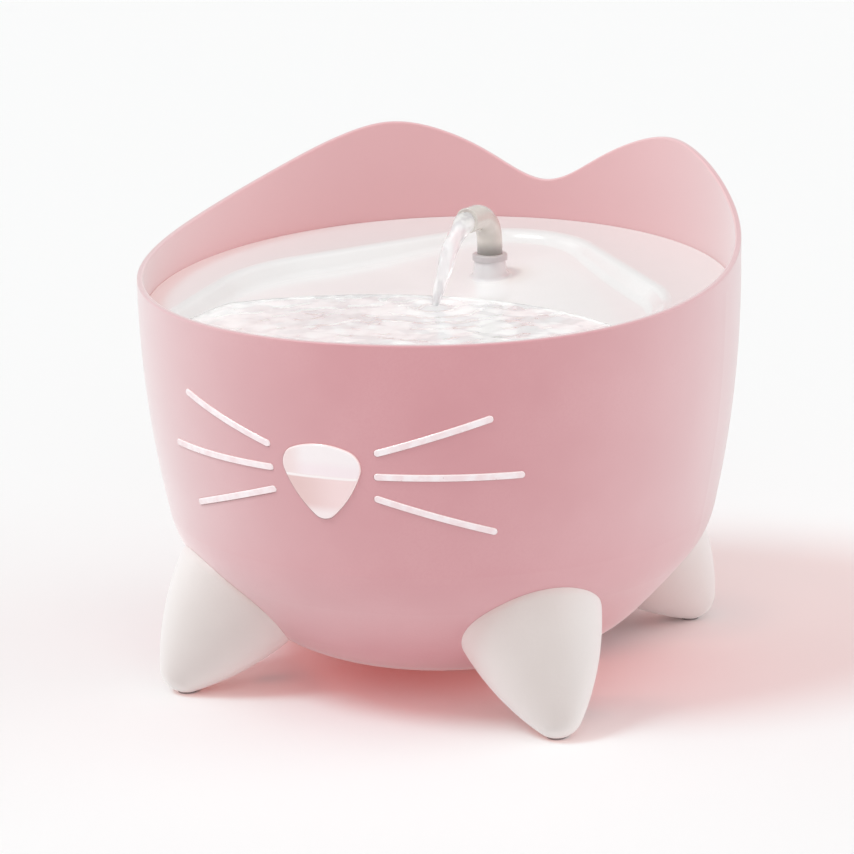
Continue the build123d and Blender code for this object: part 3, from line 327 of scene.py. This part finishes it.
bowl, tray = finishes["bowl_plastic"], finishes["tray_plastic"]
facing = bowl.start.node("ShaderNodeTexCoord", output="Normal")
outward = facing.along(bowl.place - BOWL_HEART)
# The inner wall is painted paler than the outside: painted light, for the brighter light inside the
# bowl.
bowl.colour_by(outward.step(*INNER_SPAN).tint(INNER_PINK_PAINTED_LIGHT, bowl.colour))
# Painted sheen on the bowl, from a little above the floor up, and on the legs.
painted_sheen(bowl, BOWL_PAINTED_SHEEN, PAINTED_SHEEN_PINK, bowl.place.part("Z").step(*PAINTED_SHEEN_RISE))
painted_sheen(finishes["leg_plastic"], LEG_PAINTED_SHEEN, PAINTED_SHEEN_LEG)
from_post = ((tray.place - POST_PLACE) * (1, 1, 0)).length()
over_deck = tray.place.along((0, -DECK_SLOPE, 1))
on_deck = over_deck.step(*(DECK_Z + edge for edge in DECK_EDGE))
# The deck is painted greyer than the basin: painted shade.
tray.colour_by(on_deck.tint(tray.colour, DECK_PAINTED_SHADE))
# Round the spout's post the tray is painted grey: painted shade.
tray.colour_by(from_post.step(*POST_SPAN).tint(POST_PAINTED_SHADE, tray.colour))
let_through(bowl, BOWL_SHADE)
let_through(finishes["leg_plastic"], LEG_SHADE)
for slot in INNER_SLOTS:
    let_through(finishes[slot], INNER_SHADE)
finishes = {slot: finish.material for slot, finish in finishes.items()}
print("moulded finishes:", ", ".join(finishes))

# %% [markdown]
# ## Clear plastic, rubber, steel and foam
#
# The nose window and whiskers are clear plastic set in a pink wall, so they look like pale pink
# glass. Real transmission through them would be an alternative. Here their tones are given as
# colours, with a sharp gloss on top, which keeps the waterline and the edges where they are
# drawn. Their light and shade are painted into these colours: darker to the left, a painted
# highlight along the waterline, and painted shade and highlights on the rounded edges. The outlet
# tube is smokier, with painted shade where it rises out of its ring. Seals are matt, the hose and
# suction cups are milky silicone, the shaft and screws are steel with fine drawn lines, and both
# foams are open cells, with painted shade in their pores.

# %% Clear and soft finishes
WATERLINE_Z = 118.5                     # mm
INLAY_RADIUS = 0.130                    # m, from the bowl's axis to the inlays' faces
FACE_SPAN = (0.78, 0.94)                # share by which a surface looks outwards: edge, then face
PAINTED_SHADE_SIDE, PAINTED_SHADE_SPAN = (-0.70, 0, -0.71), (0.0, 0.45)
ABOVE_SPAN, LINE_SPAN = (-0.1, 0.5), (-1.3, -0.7)      # mm from the waterline
WAVE_RISE, WAVE_PITCH = 0.0006, 9.0     # m and mm, height and length of the waterline's waves
WET_ACROSS, DRY_ACROSS = (-0.012, 0.010), (-0.015, -0.006)    # m from the window's middle
WET_FOOT, DRY_RISE = (0.1010, 0.1060), (0.1215, 0.1265)       # m above the floor
WET_SHADED_LEFT, WET_RIGHT = (0.80, 0.565, 0.55, 1), (0.93, 0.72, 0.72, 1)
WET_LOW = (0.95, 0.83, 0.84, 1)
DRY_LOW, DRY_HIGH = (0.95, 0.835, 0.865, 1), (0.96, 0.89, 0.90, 1)
DRY_SHADED_LEFT = (0.90, 0.74, 0.735, 1)
WATERLINE_HIGHLIGHT = (0.99, 0.92, 0.92, 1)
WINDOW_EDGE_SHADE_AND_HIGHLIGHT = (0.22, 0.07, 0.065, 1), (0.97, 0.80, 0.79, 1)
WHISKER_FLOW = (0.93, 0.76, 0.78, 1), (0.97, 0.89, 0.91, 1)
WHISKER_EDGE_SHADE_AND_HIGHLIGHT = (0.42, 0.17, 0.16, 1), (0.98, 0.88, 0.88, 1)
BUBBLE, BUBBLE_PITCH, BUBBLE_SPAN = (0.70, 0.50, 0.50, 1), 3.4, (0.05, 0.10)
TUBE_SMOKE = (0.70, 0.66, 0.62, 1), (0.86, 0.83, 0.79, 1)
TUBE_FOOT_SHADE, TUBE_SHADE = (0.36, 0.34, 0.32, 1), (0.92, 0.90, 0.87, 1)
TUBE_FOOT = (0.1735, 0.1800)            # m above the floor, where the tube rises out of its ring and its painted shade fades
MILKY = (0.70, 0.70, 0.68, 1), (0.80, 0.80, 0.78, 1)
RUBBER_GREY = (0.24, 0.22, 0.22, 1), (0.31, 0.28, 0.28, 1)
STEEL = (0.52, 0.52, 0.53, 1), (0.66, 0.66, 0.67, 1)
CARBON, SPONGE_BLUE = (0.040, 0.040, 0.042, 1), (0.10, 0.115, 0.15, 1)
LINE_STRETCH = 25                       # how many times longer than wide a drawn line is


def painted_edge_light(finish, face, edge_shade, edge_highlight):
    """Painted shade and highlight along the inlays' rounded edges: dark where an edge turns down
    or to the left, bright where it turns up."""
    normal = finish.start.node("ShaderNodeTexCoord", output="Normal")
    outward = normal.along(finish.place * (1, 1, 0)) * (1 / INLAY_RADIUS)
    edge = 1 - outward.step(*FACE_SPAN)
    shaded = normal.along(PAINTED_SHADE_SIDE).step(*PAINTED_SHADE_SPAN)
    return edge.tint(face, shaded.tint(edge_highlight, edge_shade))


def from_waterline(span):
    return tuple((WATERLINE_Z + edge) * MM for edge in span)


def window():
    """Pale pink clear plastic that shows the height of the water behind it."""
    gloss = {"Coat_Weight": 0.8, "Coat_Roughness": 0.03, "Roughness": 0.12}
    finish = Finish("window_clear_pink", IOR=1.49, **gloss)
    height, across = finish.place.part("Z"), finish.place.part("X")
    wave = WAVE_RISE * finish.grain(WAVE_PITCH, 1.0)
    above = (height + wave).step(*from_waterline(ABOVE_SPAN))
    line = (height + wave).step(*from_waterline(LINE_SPAN))
    # The window's tones are painted light and shade: darker to the left, paler at the foot of the water
    # and towards the top above it, with a painted highlight along the waterline.
    wet = across.step(*WET_ACROSS).tint(WET_SHADED_LEFT, WET_RIGHT)
    wet = height.step(*WET_FOOT).tint(WET_LOW, wet)
    dry = (height + 2 * wave).step(*DRY_RISE).tint(DRY_LOW, DRY_HIGH)
    dry = across.step(*DRY_ACROSS).tint(DRY_SHADED_LEFT, dry)
    face = (line * (1 - above)).tint(above.tint(wet, dry), WATERLINE_HIGHLIGHT)
    finish.set("Base Color", painted_edge_light(finish, face, *WINDOW_EDGE_SHADE_AND_HIGHLIGHT))
    return finish.material


def whisker_clear():
    gloss = {"Coat_Weight": 0.7, "Coat_Roughness": 0.03, "Roughness": 0.15}
    finish = Finish("whisker_clear_pink", IOR=1.49, **gloss)
    flow = finish.grain(5.0, 2.0)
    face = flow.step(0.3, 0.7).tint(*WHISKER_FLOW)
    bubble = finish.cells(BUBBLE_PITCH).step(*BUBBLE_SPAN)
    face = bubble.tint(BUBBLE, face)
    finish.set("Base Color", painted_edge_light(finish, face, *WHISKER_EDGE_SHADE_AND_HIGHLIGHT))
    finish.relief(finish.grain(2.4, 1.0), 0.03)
    return finish.material


def tube_clear():
    finish = Finish("tube_smoky_clear", IOR=1.49, Coat_Weight=0.5, Coat_Roughness=0.03)
    finish.set("Transmission Weight", 0.30)
    flow = finish.grain(6.0, 2.0)
    above_ring = finish.place.part("Z").step(*TUBE_FOOT)
    # Darker at the foot, where the tube rises out of its ring: painted shade.
    finish.set("Base Color", above_ring.tint(TUBE_FOOT_SHADE, flow.tint(*TUBE_SMOKE)))
    finish.set("Roughness", 0.08 + 0.10 * finish.grain(3.0, 2.0))
    let_through(finish, TUBE_SHADE)
    return finish.material


def silicone():
    finish = Finish("silicone_milky", IOR=1.41, Roughness=0.4, Subsurface_Weight=0.3)
    finish.set("Subsurface Scale", 3 * MM)
    finish.set("Base Color", finish.grain(8.0).tint(*MILKY))
    finish.relief(finish.grain(0.7), 0.02)
    let_through(finish, INNER_SHADE)
    return finish.material


def rubber():
    finish = Finish("rubber_matt_grey")
    dust = finish.grain(4.0, 4.0)
    finish.set("Base Color", dust.tint(*RUBBER_GREY))
    finish.set("Roughness", 0.70 + 0.15 * dust)
    finish.relief(finish.grain(0.35, 3.0), 0.03)
    return finish.material


def steel(name, drawn_along):
    """Drawn steel: fine lines along one axis of the object."""
    finish = Finish(name, Metallic=1.0)
    stretch = tuple(1 / LINE_STRETCH if axis == drawn_along else 1.0 for axis in "XYZ")
    lines = finish.grain(0.16, 2.0, 0.6, finish.place * stretch)
    finish.set("Base Color", lines.tint(*STEEL))
    finish.set("Roughness", 0.22 + 0.18 * lines)
    finish.relief(lines, 0.006)
    return finish.material


def foam(name, colour, pitch):
    finish = Finish(name)
    pores = finish.cells(pitch)
    # Darker towards each pore's middle: painted shade in the holes.
    finish.set("Base Color", pores.step(0.15, 0.6).tint(dark(colour, 0.75), colour))
    finish.set("Roughness", 0.85 + 0.1 * pores)
    finish.relief(pores, 0.5)
    let_through(finish, INNER_SHADE)
    return finish.material


finishes |= {
    "clear_plastic": whisker_clear(),
    "spout_plastic": tube_clear(),
    "hose_silicone": silicone(),
    "seal_rubber": rubber(),
    "screw_steel": steel("screw_stainless", "X"),
    "shaft_steel": steel("shaft_stainless", "Y"),
    "filter_foam": foam("foam_carbon", CARBON, 1.3),
    "sponge_foam": foam("foam_blue_grey", SPONGE_BLUE, 1.0),
}
print("all finishes:", len(finishes))

# %% [markdown]
# ## Dress the frame
#
# Each piece of the frame names the slot it takes its finish from, so one loop dresses them all. The
# window and the ring round the spout are the exceptions: they share the plastic of other pieces, but
# the window shows a waterline and the ring is a little greyer.

# %% Finishes on the frame's pieces
COLLAR_GREY = (0.60, 0.56, 0.57)
slot_of = {part["node"]: part["material_slot"] for part in frame["record"]["subparts"]}


def dress(piece, material):
    piece.data.materials.clear()
    piece.data.materials.append(material)


for node_name, node in frame["nodes"].items():
    dress(node, finishes[slot_of[node_name]])
dress(frame["nodes"]["nose_window"], window())
collar = moulded("collar_pale_grey", COLLAR_GREY, 0.3, 0.5, 0.004)
dress(frame["nodes"]["spout_collar"], collar.material)
print("dressed:", len(slot_of))

# %% [markdown]
# ## Water in the basin
#
# The pool fills the basin up to its level, so its outline is wherever the tray's walls are at that
# height. A boolean could cut it out, but gives long thin triangles that ripple badly. Here rays
# are shot outwards from where the stream lands, and the mesh is built in rings round that point. The
# rings are finest where the waves start. The floor of the water follows the tray, a little
# below its surface, so that no film of air is left between them.

# %% Pool
POOL_Z = 158.5
LANDING = Vector((-7.0, 12.0, POOL_Z))           # where the stream meets the pool, mm
POOL_SECTORS, POOL_RINGS = 264, 96
SUNK = 0.4                                       # mm, edge and floor of the water inside the tray
RING_CROWDING = 1.15                             # above 1 the rings lie closer round the landing
RING_HEIGHT, RING_LENGTH, RING_REACH = 0.55, 1.75, 26     # mm
SWELL, CHOP = (9, 12), (4.5, 6)                  # mm, lengths of the crossing waves in X and Y
CROSS_HEIGHT, CHOP_SHARE, CALM_SHORE = 0.42, 0.6, 6       # mm, share, mm
CREEP_HEIGHT, CREEP_REACH = 0.7, 0.9             # mm, of the water that climbs the wall
DECAY = 2.718                                    # close to e, the base of both fall-offs


def tree_of(node_name):
    mesh = frame["nodes"][node_name].data
    return BVHTree.FromPolygons([v.co / MM for v in mesh.vertices], [p.vertices for p in mesh.polygons])


tray_tree = tree_of("tray")


def shore(angle):
    """Distance from the landing point to the tray's wall at the water's level."""
    _, _, _, distance = tray_tree.ray_cast(LANDING, Vector((cos(angle), sin(angle), 0)))
    return distance + SUNK


def ripple(x, y, room):
    """Height of the waves at a point, calm towards the shore. Swell and chop read the same noise
    in two places, so that they don't match."""
    away = hypot(x - LANDING.x, y - LANDING.y)
    rings = RING_HEIGHT * sin(away / RING_LENGTH) * DECAY ** (-away / RING_REACH)
    swell = noise(Vector((x / SWELL[0], y / SWELL[1], 0.3)))
    chop = noise(Vector((x / CHOP[0] + 9, y / CHOP[1], 1.7)))
    return (rings + CROSS_HEIGHT * (swell + CHOP_SHARE * chop)) * min(1.0, room / CALM_SHORE)


def pool():
    mesh = bmesh.new()
    tops, floors = [], []
    middle = mesh.verts.new(LANDING)
    middle_floor = mesh.verts.new(floor_under(LANDING.x, LANDING.y))
    for ring in range(1, POOL_RINGS + 1):
        share = (ring / POOL_RINGS) ** RING_CROWDING
        tops.append([])
        floors.append([])
        for sector in range(POOL_SECTORS):
            angle = 2 * pi * sector / POOL_SECTORS
            reach = shore_at[sector] * share
            x, y = LANDING.x + reach * cos(angle), LANDING.y + reach * sin(angle)
            room = shore_at[sector] - reach
            creep = CREEP_HEIGHT * DECAY ** (-room / CREEP_REACH)
            tops[-1].append(mesh.verts.new((x, y, POOL_Z + ripple(x, y, room) + creep)))
            floors[-1].append(mesh.verts.new(floor_under(x, y)))
    for sector in range(POOL_SECTORS):
        after = (sector + 1) % POOL_SECTORS
        mesh.faces.new((middle, tops[0][sector], tops[0][after]))
        mesh.faces.new((middle_floor, floors[0][after], floors[0][sector]))
        for inner, outer in zip(tops, tops[1:]):
            mesh.faces.new((inner[sector], outer[sector], outer[after], inner[after]))
        for inner, outer in zip(floors, floors[1:]):
            mesh.faces.new((inner[after], outer[after], outer[sector], inner[sector]))
        mesh.faces.new((tops[-1][sector], floors[-1][sector], floors[-1][after], tops[-1][after]))
    return mesh


def floor_under(x, y):
    """Point of the tray's floor below the water, sunk a little into it."""
    hit, _, _, _ = tray_tree.ray_cast(Vector((x, y, POOL_Z + 0.1)), Vector((0, 0, -1)))
    depth = hit.z - SUNK if hit else POOL_Z - SUNK
    return Vector((x, y, min(depth, POOL_Z - SUNK)))


def finished(mesh, name, material, body):
    """Turn a bmesh in millimetres into a named piece that rides on a body."""
    bmesh.ops.scale(mesh, vec=(MM, MM, MM), verts=mesh.verts)
    bmesh.ops.recalc_face_normals(mesh, faces=mesh.faces)
    data = bpy.data.meshes.new(name)
    mesh.to_mesh(data)
    mesh.free()
    for face in data.polygons:
        face.use_smooth = True
    piece = bpy.data.objects.new(name, data)
    bpy.context.collection.objects.link(piece)
    dress(piece, material)
    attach(piece, body)
    return piece


shore_at = [shore(2 * pi * sector / POOL_SECTORS) for sector in range(POOL_SECTORS)]


# The water's colours are painted light: white streaks, grey between them, and paler towards the shore.
PAINTED_WATER_SHADE, PAINTED_WATER_LIGHT = (0.76, 0.755, 0.76, 1), (0.93, 0.93, 0.93, 1)
STREAK_SPAN, STREAK_IN_CALM = (0.44, 0.53), (0.55, 0.60)
CALM_PITCH, CALM_SPAN = 38.0, (0.50, 0.60)       # mm, for the wide grey flats
BEND, BEND_PITCH = 0.007, 16.0                   # m and mm, how far and how widely the streaks bend
STREAK_PITCH, STREAK_SHAPE = 11.0, (0.75, 1.1, 1.0)      # mm, longer along X than along Y
CALM_LOSS, CALM_GAIN = 0.75, 0.5                 # shares of the streaks lost and added in calm water
PALE_SHORE, PALE_SHARE = (0.055, 0.105), 0.6     # m from where the stream lands, over which the water is painted paler


def water():
    """Clear water. Lamps reach through it, so that what lies in it isn't in its shadow. Its colour
    is painted light: bright streaks where the waves would bundle the light, grey between them."""
    finish = Finish("water_clear", IOR=1.333, Roughness=0.04)
    finish.set("Transmission Weight", 0.6)
    bent = finish.place + BEND * finish.grain(BEND_PITCH, 1.0)
    streaks = finish.grain(STREAK_PITCH, 2.5, 0.5, bent * STREAK_SHAPE)
    calm = finish.grain(CALM_PITCH, 1.0).step(*CALM_SPAN)
    lively = streaks.step(*STREAK_SPAN) * (1 - CALM_LOSS * calm)
    bright = lively + CALM_GAIN * calm * streaks.step(*STREAK_IN_CALM)
    near_shore = (finish.place - tuple(LANDING * MM)).length().step(*PALE_SHORE)
    lit = bright.tint(PAINTED_WATER_SHADE, PAINTED_WATER_LIGHT)
    finish.set("Base Color", (PALE_SHARE * near_shore).tint(lit, PAINTED_WATER_LIGHT))
    finish.relief(finish.grain(6.0, 1.5), 0.10)
    let_through(finish, (1, 1, 1, 1))
    return finish.material


pool_piece = finished(pool(), "water_pool", water(), "tray")
print("pool faces:", len(pool_piece.data.polygons), "widest:", round(max(shore_at)), "mm")

# %% [markdown]
# ## The falling stream
#
# Water leaves the mouth level and falls in a parabola. Surface tension pulls it thinner as it
# speeds up, and the flow's twist shows as lobes that wind round it. A curve with a bevel
# would give a pipe, so the stream is lofted from rings whose outline changes from one to the next.

# %% Stream
SPOUT_AXIS = Vector((0.0, POST_Y, 0.0))
MOUTH_REACH, SPOUT_TURN = 20.5, 8.0              # mm, degrees
STREAM_RINGS, STREAM_SECTORS = 72, 40
# Radius in mm at shares of the way down: it spreads over the tube's lip, then thins as it falls.
STREAM_RADII = ((0.0, 4.0), (0.22, 4.7), (0.45, 4.1), (0.70, 3.0), (0.88, 2.3), (1.0, 1.4))
INSIDE_MOUTH, BELOW_POOL = 2.0, 0.6              # mm, how far the stream reaches past both ends
# Lobes round the stream: height as a share of its radius, how many, twist on the way down, start.
LOBES = ((0.13, 2, 9, 0), (0.07, 3, -14, 1))
PULSE_HEIGHT, PULSES = 0.05, 22
LIP_SHARE = 0.08                                 # the lobes grow from nothing over this share
NEARBY = 0.01                                    # share to both sides, to find the stream's heading
_, spout_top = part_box("spout")
MOUTH_DROP = 5.8                                 # mm, from the tube's top to the middle of its mouth
MOUTH_Z = spout_top.z / MM - MOUTH_DROP


def stream_point(share):
    """Centre of the stream, share 0 at the mouth and 1 at the pool."""
    aim = Vector((-sin(radians(SPOUT_TURN)), -cos(radians(SPOUT_TURN)), 0))
    mouth = SPOUT_AXIS + aim * (MOUTH_REACH - INSIDE_MOUTH) + Vector((0, 0, MOUTH_Z))
    flat = mouth.lerp(Vector((LANDING.x, LANDING.y, MOUTH_Z)), share)
    return flat - Vector((0, 0, (MOUTH_Z - POOL_Z + BELOW_POOL) * share ** 2))


def stream_radius(share):
    for (before, wide), (after, thin) in zip(STREAM_RADII, STREAM_RADII[1:]):
        if share <= after:
            part = (share - before) / (after - before)
            return wide + (thin - wide) * part * part * (3 - 2 * part)
    return STREAM_RADII[-1][1]


def outline(angle, share):
    """The stream's outline at a share of the way down, as a factor on its radius."""
    lobes = 1
    for height, number, twist, start in LOBES:
        lobes += height * sin(number * angle + twist * share + start)
    lobes += PULSE_HEIGHT * sin(PULSES * share) * share
    return lobes if share > LIP_SHARE else 1 + (lobes - 1) * share / LIP_SHARE


def stream():
    mesh = bmesh.new()
    rings = []
    for number in range(STREAM_RINGS + 1):
        share = number / STREAM_RINGS
        heading = (stream_point(share + NEARBY) - stream_point(share - NEARBY)).normalized()
        side = heading.cross(Vector((0, 0, 1))).normalized()
        over = side.cross(heading)
        radius = stream_radius(share)
        ring = []
        for sector in range(STREAM_SECTORS):
            angle = 2 * pi * sector / STREAM_SECTORS
            spread = radius * outline(angle, share)
            outwards = cos(angle) * side + sin(angle) * over
            ring.append(mesh.verts.new(stream_point(share) + spread * outwards))
        rings.append(ring)
    for here, there in zip(rings, rings[1:]):
        for sector in range(STREAM_SECTORS):
            after = (sector + 1) % STREAM_SECTORS
            mesh.faces.new((here[sector], here[after], there[after], there[sector]))
    mesh.faces.new(rings[0])
    mesh.faces.new(rings[-1])
    return mesh


STREAM_TONES = (0.72, 0.72, 0.73, 1), (0.97, 0.97, 0.975, 1)


def falling_water():
    """Water full of fine air: whiter than the pool, with clear streaks that wind down it."""
    finish = Finish("water_falling", IOR=1.333, Roughness=0.04)
    winding = finish.grain(7.0, 2.0, 0.5, finish.place * (1.0, 1.0, 0.25))
    finish.set("Transmission Weight", 0.55)
    finish.set("Base Color", winding.step(0.40, 0.56).tint(*STREAM_TONES))
    finish.relief(winding, 0.5)
    let_through(finish, (1, 1, 1, 1))
    return finish.material


stream_piece = finished(stream(), "water_stream", falling_water(), "spout")
print("stream faces:", len(stream_piece.data.polygons))

# %% [markdown]
# ## Floor and light
#
# The fountain stands on a plain pale floor. Wide, soft suns light the floor the same
# near and far, which lamps close by would not, and a white world fills the shade. Their levels add
# up to about one on a white surface, so that each colour renders about as it is written.

# %% Floor
FLOOR_SIDE = 40.0                       # m
FLOOR_COLOUR = (0.93, 0.93, 0.93, 1)


def floor():
    data = bpy.data.meshes.new("studio_floor")
    half = FLOOR_SIDE / 2
    corners = [(-half, -half, 0), (half, -half, 0), (half, half, 0), (-half, half, 0)]
    data.from_pydata(corners, [], [(0, 1, 2, 3)])
    piece = bpy.data.objects.new("studio_floor", data)
    bpy.context.collection.objects.link(piece)
    finish = Finish("studio_floor_pale", Base_Color=FLOOR_COLOUR, Roughness=0.9)
    finish.set("Specular IOR Level", 0.0)
    dress(piece, finish.material)


floor()

# %% Lights
WORLD_LEVEL = 0.43
BACKDROP_LEVEL, GLOSS_LEVEL = 0.95, 0.75   # what the camera and what a gloss sees of the world
WORLD_COLOUR = (1.0, 0.935, 0.925, 1)   # a trace of pink in the shade
SUN_COLOUR = (0.945, 0.995, 1.0)        # a trace cooler, so that both together leave white white
# name: direction it comes from, level on a surface that faces it, softness in degrees
SUNS = {"main_sun": ((-0.395, -0.395, 0.829), 0.41, 19),
        "left_sun": ((-0.95, -0.05, 0.30), 0.15, 50),
        "right_sun": ((0.93, 0.30, 0.22), 0.37, 60),
        "front_sun": ((0.45, -0.85, 0.35), 0.15, 60),
        "top_sun": ((0.05, -0.10, 1.00), 0.11, 60)}


def light_world():
    world = bpy.data.worlds.new("studio_world")
    world.use_nodes = True
    world.node_tree.nodes.clear()
    start = Wire(world.node_tree)
    in_camera = start.node("ShaderNodeLightPath", output="Is Camera Ray")
    in_gloss = start.node("ShaderNodeLightPath", output="Is Glossy Ray")
    for_camera = (BACKDROP_LEVEL - WORLD_LEVEL) * in_camera
    strength = WORLD_LEVEL + for_camera + (GLOSS_LEVEL - WORLD_LEVEL) * in_gloss
    colour = in_camera.tint(WORLD_COLOUR, (1, 1, 1, 1))
    glow = start.node("ShaderNodeBackground", {}, {"Color": colour, "Strength": strength})
    start.node("ShaderNodeOutputWorld", {}, {"Surface": glow})
    bpy.context.scene.world = world


def light_suns():
    for name, (source, level, softness) in SUNS.items():
        data = bpy.data.lights.new(name, "SUN")
        data.energy = level * pi
        data.color = SUN_COLOUR
        data.angle = radians(softness)
        sun = bpy.data.objects.new(name, data)
        bpy.context.collection.objects.link(sun)
        sun.rotation_euler = Vector(source).to_track_quat("Z", "Y").to_euler()


light_world()
light_suns()
bpy.context.scene.view_settings.view_transform = "Standard"
print("lights:", ", ".join(SUNS))
